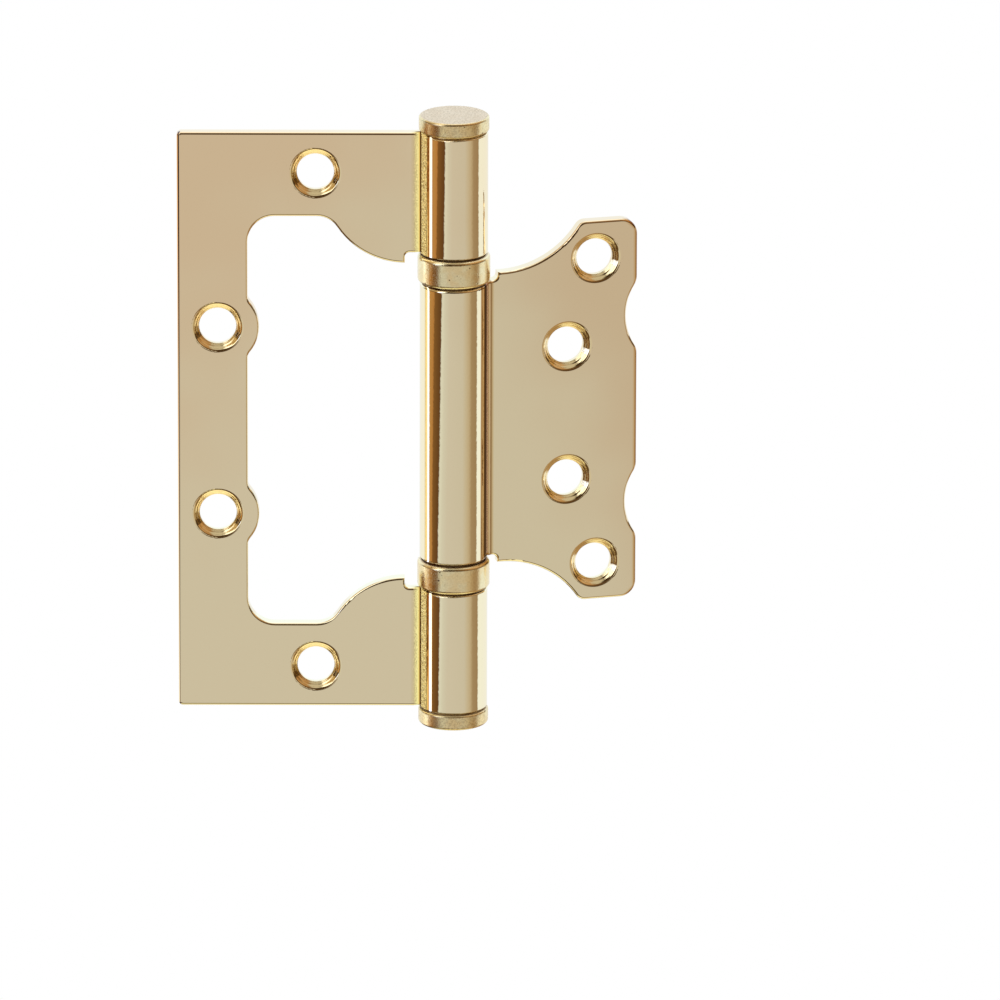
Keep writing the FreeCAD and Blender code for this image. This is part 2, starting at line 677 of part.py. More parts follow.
def shell_outline():
    """Ring that hides the races, with rounded rims."""
    bore = size("ring_bore_radius")
    radius = size("ring_radius")
    end = size("ring_height") / 2
    edge = size("ring_edge_radius")
    low = arc((radius - edge, edge - end), edge, -90, 0, [("radius", "sizes.ring_edge_radius")])
    high = arc((radius - edge, end - edge), edge, 0, 90, [("radius", "sizes.ring_edge_radius")])
    return [
        line((bore, -end), low["start"],
             [("start right", "sizes.ring_bore_radius"), ("start down", "sizes.ring_height / 2")]),
        low,
        line(low["end"], high["start"], [("start right", "sizes.ring_radius")]),
        high,
        line(high["end"], (bore, end), [("end up", "sizes.ring_height / 2")]),
        line((bore, end), (bore, -end)),
    ]


def race_outline(rim_formula, rim):
    """Washer that stands on the knuckle's end, with a round groove in its top."""
    bore = size("race_bore_radius")
    height = size("race_height")
    groove = size("groove_radius")
    ball_level = size("bearing_height") / 2
    sink = math.degrees(math.acos((ball_level - height) / groove))
    groove_arc = arc((size("ball_circle_radius"), ball_level), groove, 270 + sink, 270 - sink,
                     [("radius", "sizes.groove_radius"),
                      ("centre right", "sizes.ball_circle_radius"),
                      ("centre up", "sizes.bearing_height / 2")])
    return [
        line((bore, 0), (rim, 0), [("start right", "sizes.race_bore_radius"),
                                   ("start on axis", ""), ("end right", rim_formula)]),
        line((rim, 0), (rim, height), [("end up", "sizes.race_height")]),
        line((rim, height), groove_arc["start"]),
        groove_arc,
        line(groove_arc["end"], (bore, height), [("end up", "sizes.race_height")]),
        line((bore, height), (bore, 0)),
    ]


def ball_cage(name):
    """Flat ring with a round pocket for each ball."""
    body = new_body(name)
    ring_sketch = new_sketch(body, name + "_ring", "XY_Plane")
    pocket_sketch = new_sketch(body, name + "_pocket_outline", "XY_Plane")
    circles = [
        (ring_sketch, 0, size("race_bore_radius"), "sizes.race_bore_radius"),
        (ring_sketch, 0, size("cage_radius"), "sizes.cage_radius"),
        (pocket_sketch, size("ball_circle_radius"), size("pocket_radius"), "sizes.pocket_radius"),
    ]
    for sketch, offset, radius, formula in circles:
        circle = Part.Circle(point(offset, 0), FreeCAD.Vector(0, 0, 1), radius)
        geometry = sketch.addGeometry(circle, False)
        index = sketch.addConstraint(Sketcher.Constraint("Radius", geometry, radius))
        sketch.setExpression("Constraints[%d]" % index, formula)
        if offset:
            sketch.addConstraint(Sketcher.Constraint("PointOnObject", geometry, 3, -1))
            index = sketch.addConstraint(Sketcher.Constraint("DistanceX", -1, 1, geometry, 3, offset))
            sketch.setExpression("Constraints[%d]" % index, "sizes.ball_circle_radius")
        else:
            sketch.addConstraint(Sketcher.Constraint("Coincident", geometry, 3, -1, 1))
    pad_between(body, ring_sketch, "sizes.cage_thickness")
    pocket = body.newObject("PartDesign::Pocket", name + "_pocket")
    pocket.Profile = pocket_sketch
    pocket.SideType = "Symmetric"
    pocket.setExpression("Length", "2 * sizes.cage_thickness")
    doc.recompute()
    pattern = body.newObject("PartDesign::PolarPattern", name + "_pockets")
    pattern.Originals = [pocket]
    pattern.Axis = (pocket_sketch, ["N_Axis"])
    pattern.Angle = 360
    pattern.setExpression("Occurrences", "sizes.ball_count")
    body.Tip = pattern
    doc.recompute()
    return body


def ball(name, number, level):
    """Steel ball in its place on the ball circle."""
    sphere = doc.addObject("Part::Sphere", name)
    sphere.Label = name
    sphere.setExpression("Radius", "sizes.ball_diameter / 2")
    turn = "(%d * 360 deg / sizes.ball_count)" % number
    sphere.setExpression("Placement.Base.x", PIN_X + " + sizes.ball_circle_radius * cos" + turn)
    sphere.setExpression("Placement.Base.y", PIN_Y + " + sizes.ball_circle_radius * sin" + turn)
    sphere.setExpression("Placement.Base.z", level)
    return sphere


# Places in the hinge

PIN_X = "sizes.side_hole_offset"
PIN_Y = "-sizes.half_sheet"
UP = FreeCAD.Vector(0, 0, 1)
TO_RIGHT = FreeCAD.Vector(1, 0, 0)


def put_on_pin(body, level="0", axis=UP, turn="0"):
    """Sets a body on the pin axis, at a height and turned by an angle in degrees."""
    body.Placement = FreeCAD.Placement(FreeCAD.Vector(), FreeCAD.Rotation(axis, 90))
    body.setExpression("Placement.Base.x", PIN_X)
    body.setExpression("Placement.Base.y", PIN_Y)
    body.setExpression("Placement.Base.z", level)
    body.setExpression("Placement.Rotation.Angle", "(%s) * 1 deg" % turn)
    return body


pieces = [
    put_on_pin(outer_leaf),
    put_on_pin(inner_leaf, turn="180 + sizes.swing_back"),
    put_on_pin(hinge_pin),
    put_on_pin(top_cap, "sizes.half_height"),
    put_on_pin(bottom_cap, "-sizes.half_height", TO_RIGHT, "180"),
]
for side, sign in (("upper", ""), ("lower", "-")):
    middle = sign + "sizes.bearing_middle"
    name = side + "_bearing_"
    pressed = race_outline("sizes.ring_bore_radius", size("ring_bore_radius"))
    running = race_outline("sizes.running_race_radius", size("running_race_radius"))
    bottom_race = turned_body(name + "bottom_race", pressed)
    top_race = turned_body(name + "top_race", running)
    pieces += [
        put_on_pin(turned_body(name + "shell", shell_outline()), middle),
        put_on_pin(bottom_race, middle + " - sizes.bearing_height / 2"),
        put_on_pin(top_race, middle + " + sizes.bearing_height / 2", TO_RIGHT, "180"),
        put_on_pin(ball_cage(name + "ball_cage"), middle),
    ]
    for number in range(int(size("ball_count"))):
        pieces.append(ball("%s_ball_%d" % (side, number + 1), number, middle))
doc.recompute()

for feature in doc.Objects:
    if "Invalid" in feature.State or "Error" in feature.State:
        raise RuntimeError("failed: " + feature.Name)
for piece in pieces:
    if piece.Shape.isNull() or not piece.Shape.isValid() or len(piece.Shape.Solids) != 1:
        raise RuntimeError("no single valid solid: " + piece.Label)

os.makedirs("parts", exist_ok=True)
for piece in pieces:
    piece.Shape.exportStep("parts/%s.step" % piece.Label)
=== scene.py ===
import math

import bpy
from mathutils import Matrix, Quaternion, Vector


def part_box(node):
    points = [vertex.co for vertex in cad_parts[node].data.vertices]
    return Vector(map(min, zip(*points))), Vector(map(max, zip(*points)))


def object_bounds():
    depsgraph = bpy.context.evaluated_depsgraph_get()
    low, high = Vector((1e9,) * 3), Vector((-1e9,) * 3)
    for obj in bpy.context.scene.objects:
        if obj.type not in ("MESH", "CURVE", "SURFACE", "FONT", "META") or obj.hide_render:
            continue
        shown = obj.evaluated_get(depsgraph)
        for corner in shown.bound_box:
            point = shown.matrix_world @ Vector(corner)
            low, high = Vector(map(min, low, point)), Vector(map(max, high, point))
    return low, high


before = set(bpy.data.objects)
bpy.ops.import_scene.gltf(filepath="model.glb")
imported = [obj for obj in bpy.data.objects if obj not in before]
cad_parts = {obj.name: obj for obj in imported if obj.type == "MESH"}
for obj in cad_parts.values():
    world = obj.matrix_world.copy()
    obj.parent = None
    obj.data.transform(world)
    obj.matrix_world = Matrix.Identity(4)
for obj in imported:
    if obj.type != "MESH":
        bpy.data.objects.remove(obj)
cad_low, cad_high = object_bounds()
bpy.ops.object.select_all(action="DESELECT")


# The camera stands 2.5 m away and a little above the hinge, as a long lens in a studio does.
# It aims at the point that the middle of the photograph's frame shows, and is hardly tilted.
MM = 0.001
CAMERA_DISTANCE = 2.5
CAMERA_AZIMUTH = math.radians(-0.079)
CAMERA_ELEVATION = math.radians(17.53)
CAMERA_ROLL = math.radians(0.147)
CAMERA_TARGET = Vector((0.047067, -0.001, -0.01408))
SENSOR_WIDTH = 36.0
FRAME_PIXELS = 1000
PIXELS_PER_MM = 5.986

shown_width = FRAME_PIXELS / PIXELS_PER_MM * MM
camera_data = bpy.data.cameras.new("studio_camera")
camera_data.sensor_width = SENSOR_WIDTH
camera_data.lens = SENSOR_WIDTH * CAMERA_DISTANCE / shown_width
camera = bpy.data.objects.new("studio_camera", camera_data)
bpy.context.scene.collection.objects.link(camera)
towards_camera = Vector((math.sin(CAMERA_AZIMUTH) * math.cos(CAMERA_ELEVATION),
                         -math.cos(CAMERA_AZIMUTH) * math.cos(CAMERA_ELEVATION),
                         math.sin(CAMERA_ELEVATION)))
aim = (-towards_camera).to_track_quat("-Z", "Y")
camera.location = CAMERA_TARGET + towards_camera * CAMERA_DISTANCE
camera.rotation_euler = (Quaternion(towards_camera, CAMERA_ROLL) @ aim).to_euler()
bpy.context.scene.camera = camera


# The studio round the hinge: cards and soft boxes that its polish mirrors. Four strips go round
# it, a low one that the upright faces show, and above it a middle, a high and a top one that the
# rims and rounded edges show. Under the low strip lies a dark table edge, then the pale table.
BACK_WALL = (0.90, 0.92, 0.98)
BACK_DAYLIGHT = (0.96, 1.08, 1.25)
SIDE_SOFT_BOX = (1.40, 1.45, 1.55)
WHITE_CARD = (1.60, 1.60, 1.60)
BLUE_CARD = (1.60, 1.80, 2.60)
BROWN_CLOTH = (0.08, 0.045, 0.02)
DARKEST_CLOTH = (0.05, 0.03, 0.015)
TABLE_EDGE_DARK = (0.12, 0.07, 0.03)
TABLE_EDGE_LIT = (0.40, 0.26, 0.13)
TABLE_COLOUR = (1.0, 0.93, 0.62)
CEILING_COLOUR = (0.56, 0.52, 0.45)
BACK_LIGHT_COLOUR = (1.50, 1.50, 1.50)
TABLE_EDGE_STRIP = [
    (-180, TABLE_EDGE_DARK),
    (15, (0.10, 0.055, 0.02)),
    (40, TABLE_EDGE_LIT),
    (140, TABLE_EDGE_LIT),
    (180, TABLE_EDGE_DARK),
]
LOW_STRIP = [
    (-180, BACK_WALL),
    (-112, (0.92, 0.96, 1.02)),
    (-109, SIDE_SOFT_BOX),
    (-92, SIDE_SOFT_BOX),
    (-90, (0.50, 0.28, 0.10)),
    (-77, (0.46, 0.22, 0.07)),
    (-73, (0.21, 0.10, 0.03)),
    (-49, (0.12, 0.055, 0.02)),
    (-46, (0.72, 0.74, 0.74)),
    (-34, (0.64, 0.64, 0.63)),
    (-18, (0.61, 0.58, 0.56)),
    (30, (0.59, 0.56, 0.53)),
    (42, (0.56, 0.50, 0.42)),
    (54, (0.51, 0.42, 0.31)),
    (63, (0.37, 0.27, 0.17)),
    (84, (0.33, 0.23, 0.14)),
    (87, (0.91, 0.96, 1.02)),
    (180, BACK_WALL),
]
MIDDLE_STRIP = [
    (-180, BACK_DAYLIGHT),
    (-130, BACK_DAYLIGHT),
    (-112, BROWN_CLOTH),
    (-64, BROWN_CLOTH),
    (-61, BLUE_CARD),
    (-47, BLUE_CARD),
    (-44, BROWN_CLOTH),
    (112, BROWN_CLOTH),
    (130, BACK_DAYLIGHT),
    (180, BACK_DAYLIGHT),
]
HIGH_STRIP = [
    (-180, BACK_DAYLIGHT),
    (-125, BACK_DAYLIGHT),
    (-110, (0.62, 0.46, 0.26)),
    (-70, (0.50, 0.33, 0.13)),
    (-63, WHITE_CARD),
    (-38, WHITE_CARD),
    (-33, DARKEST_CLOTH),
    (-6, DARKEST_CLOTH),
    (30, (0.20, 0.11, 0.05)),
    (60, (0.48, 0.28, 0.13)),
    (100, (0.50, 0.28, 0.12)),
    (122, (0.70, 0.55, 0.40)),
    (135, BACK_DAYLIGHT),
    (180, BACK_DAYLIGHT),
]
TOP_STRIP = [
    (-180, BACK_DAYLIGHT),
    (-110, (0.62, 0.46, 0.26)),
    (-70, (0.50, 0.33, 0.13)),
    (-64, WHITE_CARD),
    (-42, WHITE_CARD),
    (-36, DARKEST_CLOTH),
    (-6, DARKEST_CLOTH),
    (30, (0.20, 0.11, 0.05)),
    (60, (0.48, 0.28, 0.13)),
    (122, (0.70, 0.55, 0.40)),
    (135, BACK_DAYLIGHT),
    (180, BACK_DAYLIGHT),
]

# The strips from the table upwards, each with the elevations in degrees between which it takes
# over from what lies under it. The ceiling comes last. Its back half is a light, which starts
# between these Y of the direction.
STRIPS_UPWARDS = (
    ((-62, -55), TABLE_EDGE_STRIP),
    ((-34, -28), LOW_STRIP),
    ((-3, 3), MIDDLE_STRIP),
    ((15, 20), HIGH_STRIP),
    ((30, 34), TOP_STRIP),
)
CEILING_START = (55, 66)
BACK_LIGHT_START = (-0.05, 0.15)


def put(tree, kind, **settings):
    """One node with its settings."""
    node = tree.nodes.new(kind)
    for name, value in settings.items():
        setattr(node, name, value)
    return node


def feed(tree, value, socket):
    """Gives a socket what another one puts out, or a number or colour."""
    if isinstance(value, bpy.types.NodeSocket):
        tree.links.new(value, socket)
    elif value is not None:
        socket.default_value = value


def maths(tree, operation, first, second=None, third=None):
    """One sum on sockets and numbers."""
    node = put(tree, "ShaderNodeMath", operation=operation)
    for place, value in enumerate((first, second, third)):
        feed(tree, value, node.inputs[place])
    return node.outputs["Value"]


def times(tree, first, *others):
    """Product of sockets and numbers."""
    product = first
    for other in others:
        product = maths(tree, "MULTIPLY", product, other)
    return product


def split(tree, vector):
    """The X, Y and Z of a vector."""
    node = put(tree, "ShaderNodeSeparateXYZ")
    feed(tree, vector, node.inputs["Vector"])
    return node.outputs["X"], node.outputs["Y"], node.outputs["Z"]


def step(tree, value, start, end):
    """Rises softly from 0 to 1 while the value goes from start to end."""
    node = put(tree, "ShaderNodeMapRange", interpolation_type="SMOOTHSTEP")
    feed(tree, value, node.inputs["Value"])
    node.inputs["From Min"].default_value = start
    node.inputs["From Max"].default_value = end
    return node.outputs["Result"]


def blend(tree, share, first, second):
    """Goes from the first colour to the second."""
    node = put(tree, "ShaderNodeMix", data_type="RGBA")
    feed(tree, share, node.inputs["Factor"])
    for socket, colour in ((node.inputs["A"], first), (node.inputs["B"], second)):
        feed(tree, (*colour, 1) if isinstance(colour, tuple) else colour, socket)
    return node.outputs["Result"]


def colour_ramp(tree, share, stops):
    """Colours one after the other, each given by its share and colour."""
    ramp = put(tree, "ShaderNodeValToRGB")
    feed(tree, share, ramp.inputs["Fac"])
    elements = ramp.color_ramp.elements
    while len(elements) < len(stops):
        elements.new(0.5)
    for element, (position, colour) in zip(elements, stops):
        element.position = position
        element.color = (*colour, 1)
    return ramp.outputs["Color"]


def strip_of_cards(tree, cards, share):
    """A strip round the hinge, each card given by its azimuth from the front and its colour."""
    return colour_ramp(tree, share, [((azimuth + 180) / 360, colour) for azimuth, colour in cards])


world = bpy.data.worlds.new("studio")
bpy.context.scene.world = world
world.use_nodes = True
studio = world.node_tree
studio.nodes.clear()
ray = put(studio, "ShaderNodeTexCoord").outputs["Generated"]
to_the_right, to_the_back, up = split(studio, ray)
azimuth = maths(studio, "ARCTAN2", to_the_right, times(studio, to_the_back, -1.0))
azimuth_share = maths(studio, "MULTIPLY_ADD", azimuth, 1 / (2 * math.pi), 0.5)
elevation = times(studio, maths(studio, "ARCSINE", up), math.degrees(1))
sky = TABLE_COLOUR
for (start, end), cards in STRIPS_UPWARDS:
    strip = strip_of_cards(studio, cards, azimuth_share)
    sky = blend(studio, step(studio, elevation, start, end), sky, strip)
at_the_back = step(studio, to_the_back, *BACK_LIGHT_START)
ceiling = blend(studio, at_the_back, CEILING_COLOUR, BACK_LIGHT_COLOUR)
sky = blend(studio, step(studio, elevation, *CEILING_START), sky, ceiling)
seen_by_camera = put(studio, "ShaderNodeLightPath").outputs["Is Camera Ray"]
background = put(studio, "ShaderNodeBackground")
feed(studio, blend(studio, seen_by_camera, sky, (1.0, 1.0, 1.0)), background.inputs["Color"])
feed(studio, background.outputs["Background"], put(studio, "ShaderNodeOutputWorld").inputs["Surface"])
bpy.context.scene.view_settings.view_transform = "Standard"


# The outer leaf is steel sheet, stamped, rolled into two knuckles and brass plated, then
# polished bright. The cutter leaves turning marks in its countersinks, and the corner where
# each roll closes on the sheet can't be reached by the polishing wheel and stays rough.

# The colour goes from the upper tint to the paler lower brass towards a leaf's knuckle and its
# foot, a painted gradient of the reflection. Broad patches of paler brass are the plating's own
# tone. The share of the pale brass grows by this much for each metre downwards.
LOWER_BRASS = (0.99, 0.89, 0.615)
PALER_DOWNWARDS = 11.0
PATCH_GRAIN = 14 * MM
PATCH_STRENGTH = 0.5
PALE_SHARES = (0.1, 0.9)

# A countersink has rings and chatter from its cutter, and a rounded rim that leans to the front.
# Its finish ends half a millimetre behind the pin's axis.
COUNTERSINK_BRASS = (1.0, 0.84, 0.50)
COUNTERSINK_RADIUS = 4.25 * MM
COUNTERSINK_END = -0.5 * MM
RIM_ROUNDING = 0.30 * MM
RIM_LEANING = 1.4
RING_WIDTH = 0.25 * MM
RING_DEPTH = 0.030 * MM
CHATTER_GRAIN = 0.5 * MM
CHATTER_DEPTH = 0.012 * MM

# The sheet is a little wavy, and rolling roughens its skin. The marks of rolling fade out
# between these distances from the pin's axis.
ROLL_MARKS_END = (5.8 * MM, 6.9 * MM)
WAVE_GRAIN = 13 * MM
WAVE_DEPTH = 0.06 * MM
PEEL_GRAIN = 0.55 * MM
PEEL_DEPTH = 0.008 * MM
PEEL_ON_FLAT = 0.2

# The rolls aren't quite round, and their left side is twisted from end to end, but its outermost
# flank is true. That side and that flank end between these X of the surface's normal.
LEFT_SIDE_END = (-0.3, 0.3)
TRUE_FLANK_END = (-0.69, -0.55)

# Where the roll folds into the flat, painted reflections and painted shade, steps of colour
# that multiply the brass, stand in for the polish mirroring itself, and painted reflections do
# so again in the last millimetre before an edge. The stretch that holds the steps at the fold
# starts on the far side of the pin's axis.
FOLD_START = -6 * MM
FOLD_REACH = 16 * MM
EDGE_REACH = 1 * MM

# Grit stays in the corner beside the roll, and the sheet next to it is worn with a ragged edge.
# Both, and the bright line along each roll, tilt up and to the left, and so mirror white cards.
POLISH_ROUGHNESS = 0.035
GRITTY_ROUGHNESS = 0.16
GRITTY_CORNER = (4.40 * MM, 5.52 * MM)
GRITTY_SOFTNESS = 0.13 * MM
GRIT_GRAIN = 0.26 * MM
GRIT_DEPTH = 0.12 * MM
WORN_START = 5.60 * MM
WORN_END = 7.16 * MM
WORN_RAGGEDNESS = 1.8 * MM
WORN_GRAIN = 0.07 * MM
WORN_TILT = (-2.1, -3.8, 2.3)
FLATTENED_TILT = (-1.7, -4.25, 2.0)
LINE_SOFTNESS = 0.08 * MM

# A leaf runs out from the pin in its direction, and its front is on one side of that, 1 or -1.
# Its holes are given outwards and upwards from the middle of the pin, and each has a mirror image
# below. pale_share is the pale brass's share at the pin, and pale_fall what it loses for each
# metre outwards, both setting the painted gradient of the reflection. roll_turn is in radians, and
# roll_twist in radians for each metre upwards. A painted reflection or painted shade multiplies
# the brass at a distance from the pin's axis or, at an edge, from a line that runs EDGE_REACH
# inside it. The edges are the end and the corner, where the ways outwards and upwards add up to
# the length given. The painted edge reflections gain edge_growth for each metre upwards.
OUTER_LEAF = dict(
    direction=math.pi,
    front_side=1.0,
    holes=((23.0 * MM, 43.0 * MM), (39.3 * MM, 16.25 * MM)),
    upper_brass=(0.97, 0.775, 0.505),
    pale_share=0.80,
    pale_fall=12.0,
    roll_turn=-0.060,
    roll_twist=-1.97,
    bright_line=(3.60 * MM, 4.08 * MM),
    worn_corner=True,
    # Painted reflections and painted shade across the fold, multiplying the brass.
    fold_painted_reflections=(
        (3.98 * MM, (1.0, 1.0, 1.0)),
        (4.12 * MM, (0.50, 0.26, 0.05)),
        (4.28 * MM, (0.50, 0.26, 0.05)),
        (4.44 * MM, (0.97, 0.83, 0.41)),
        (5.36 * MM, (1.0, 0.93, 0.54)),
        (5.47 * MM, (0.16, 0.06, 0.010)),
        (5.63 * MM, (0.16, 0.06, 0.010)),
        (5.70 * MM, (0.52, 0.40, 0.14)),
        (5.95 * MM, (0.62, 0.62, 0.37)),
        (6.15 * MM, (0.60, 0.60, 0.37)),
        (6.40 * MM, (0.80, 0.78, 0.52)),
        (6.70 * MM, (0.95, 0.92, 0.80)),
        (7.20 * MM, (1.0, 1.0, 1.0)),
    ),
    end=46.0 * MM,
    corner=96.0 * MM,
    # Painted reflections along the edge, multiplying the brass.
    edge_painted_reflections=(
        (0.57 * MM, (1.0, 1.0, 1.0)),
        (0.63 * MM, (0.08, 0.03, 0.02)),
        (0.79 * MM, (0.08, 0.03, 0.02)),
        (0.86 * MM, (0.92, 0.66, 0.40)),
    ),
    edge_strength=0.55,
    edge_growth=10.0,
)

pin_low, pin_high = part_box("hinge_pin")
pin_x = (pin_low[0] + pin_high[0]) / 2
pin_y = (pin_low[1] + pin_high[1]) / 2


def new_metal(name, colour, roughness):
    """A metal finish, its node tree and its shader."""
    material = bpy.data.materials.new(name)
    material.use_nodes = True
    shader = material.node_tree.nodes["Principled BSDF"]
    shader.inputs["Metallic"].default_value = 1.0
    shader.inputs["Base Color"].default_value = (*colour, 1)
    shader.inputs["Roughness"].default_value = roughness
    return material, material.node_tree, shader


def about_the_pin(tree, direction):
    """Object coordinates from the pin's axis, as a vector and as ways out, through and up a leaf."""
    mapping = put(tree, "ShaderNodeMapping", vector_type="TEXTURE")
    mapping.inputs["Location"].default_value = (pin_x, pin_y, 0)
    mapping.inputs["Rotation"].default_value = (0, 0, direction)
    feed(tree, put(tree, "ShaderNodeTexCoord").outputs["Object"], mapping.inputs["Vector"])
    place = mapping.outputs["Vector"]
    return place, *split(tree, place)


def noise(tree, place, grain, detail=1.0, dimensions="3D"):
    """Noise whose grains are about as large as given, in metres."""
    node = put(tree, "ShaderNodeTexNoise", noise_dimensions=dimensions)
    feed(tree, place, node.inputs["W" if dimensions == "1D" else "Vector"])
    node.inputs["Scale"].default_value = 1 / grain
    node.inputs["Detail"].default_value = detail
    return node.outputs["Fac"]


def drop(tree, value, start, end):
    """Falls softly from 1 to 0 while the value goes from start to end."""
    return maths(tree, "SUBTRACT", 1.0, step(tree, value, start, end))


def within(tree, value, start, end, soft):
    """1 between the start and the end, with soft sides, and 0 elsewhere."""
    return times(tree, step(tree, value, start, start + soft), drop(tree, value, end - soft, end))


def length(tree, across, along):
    """Length of a line that goes so far across and so far along."""
    square = maths(tree, "MULTIPLY_ADD", across, across, times(tree, along, along))
    return maths(tree, "SQRT", square)


def shaded(tree, strength, colour, shade):
    """A colour multiplied by a shade, as strongly as given."""
    node = put(tree, "ShaderNodeMix", data_type="RGBA", blend_type="MULTIPLY")
    feed(tree, strength, node.inputs["Factor"])
    feed(tree, colour, node.inputs["A"])
    feed(tree, shade, node.inputs["B"])
    return node.outputs["Result"]


def add_vectors(tree, first, second):
    """Sum of two vectors."""
    node = put(tree, "ShaderNodeVectorMath", operation="ADD")
    feed(tree, first, node.inputs[0])
    feed(tree, second, node.inputs[1])
    return node.outputs["Vector"]


def times_vector(tree, factor, vector):
    """A vector times a number."""
    node = put(tree, "ShaderNodeVectorMath", operation="SCALE")
    feed(tree, vector, node.inputs[0])
    feed(tree, factor, node.inputs["Scale"])
    return node.outputs["Vector"]


def turn_upright(tree, vector, angle):
    """A vector turned about the upright axis."""
    node = put(tree, "ShaderNodeVectorRotate", rotation_type="Z_AXIS")
    feed(tree, vector, node.inputs["Vector"])
    feed(tree, angle, node.inputs["Angle"])
    return node.outputs["Vector"]


def emboss(tree, shader, heights, normal=None):
    """Raises the surface by the sum of several heights, each a pattern and how deep it is."""
    total = 0.0
    for pattern, depth in heights:
        total = maths(tree, "MULTIPLY_ADD", pattern, depth, total)
    bump = put(tree, "ShaderNodeBump")
    bump.inputs["Distance"].default_value = 1.0
    feed(tree, total, bump.inputs["Height"])
    feed(tree, normal, bump.inputs["Normal"])
    feed(tree, bump.outputs["Normal"], shader.inputs["Normal"])


def nearest_hole(tree, leaf, outwards, upwards):
    """Distance from the axis of the nearest screw hole."""
    distances = []
    for hole_outwards, hole_upwards in leaf["holes"]:
        across = maths(tree, "SUBTRACT", outwards, hole_outwards)
        along = maths(tree, "SUBTRACT", maths(tree, "ABSOLUTE", upwards), hole_upwards)
        distances.append(length(tree, across, along))
    return maths(tree, "MINIMUM", *distances)


def brass_with_painted_gradient(tree, leaf, place, outwards, upwards):
    """Brass between the leaf's upper tint and the paler lower one: a painted gradient of the
    reflection, with the plating's own patches.
    """
    paleness = maths(tree, "MULTIPLY_ADD", upwards, -PALER_DOWNWARDS, leaf["pale_share"])
    paleness = maths(tree, "MULTIPLY_ADD", outwards, -leaf["pale_fall"], paleness)
    patches = noise(tree, place, PATCH_GRAIN)
    paleness = maths(tree, "MULTIPLY_ADD", patches, PATCH_STRENGTH, paleness)
    return blend(tree, step(tree, paleness, *PALE_SHARES), leaf["upper_brass"], LOWER_BRASS)


def painted_reflections_at_fold(tree, leaf, outwards):
    """Steps of colour from the back of the roll to the start of the flat: painted reflections and
    painted shade.
    """
    share = maths(tree, "MULTIPLY_ADD", outwards, 1 / FOLD_REACH, -FOLD_START / FOLD_REACH)
    stops = [((distance - FOLD_START) / FOLD_REACH, shade) for distance, shade in leaf["fold_painted_reflections"]]
    return colour_ramp(tree, share, stops)


def painted_reflection_at_edge(tree, leaf, outwards, upwards):
    """Steps of colour before the leaf's end and its slanting corners: painted reflections."""
    past_the_end = maths(tree, "SUBTRACT", outwards, leaf["end"])
    slantwise = maths(tree, "ADD", outwards, maths(tree, "ABSOLUTE", upwards))
    past_the_corner = times(tree, maths(tree, "SUBTRACT", slantwise, leaf["corner"]), math.sqrt(0.5))
    past_the_edge = maths(tree, "MAXIMUM", past_the_end, past_the_corner)
    share = maths(tree, "MULTIPLY_ADD", past_the_edge, 1 / EDGE_REACH, 1.0)
    stops = [(distance / EDGE_REACH, shade) for distance, shade in leaf["edge_painted_reflections"]]
    return colour_ramp(tree, share, stops)


def out_of_round(tree, leaf, normal, upwards, on_roll):
    """The surface's normal, turned where the roll isn't round, more so towards its ends."""
    to_the_right = split(tree, normal)[0]
    twist = times(tree, upwards, leaf["roll_twist"], drop(tree, to_the_right, *LEFT_SIDE_END))
    angle = times(tree, maths(tree, "ADD", twist, leaf["roll_turn"]), on_roll)
    angle = times(tree, angle, step(tree, to_the_right, *TRUE_FLANK_END))
    return turn_upright(tree, normal, angle)


def worn_sheet(tree, place, outwards):
    """1 where the sheet next to the roll is worn, and 0 elsewhere."""
    specks = noise(tree, place, WORN_GRAIN, 0.0)
    ragged = maths(tree, "MULTIPLY_ADD", specks, WORN_RAGGEDNESS, outwards)
    return times(tree, maths(tree, "LESS_THAN", ragged, WORN_END),
                 maths(tree, "GREATER_THAN", outwards, WORN_START))


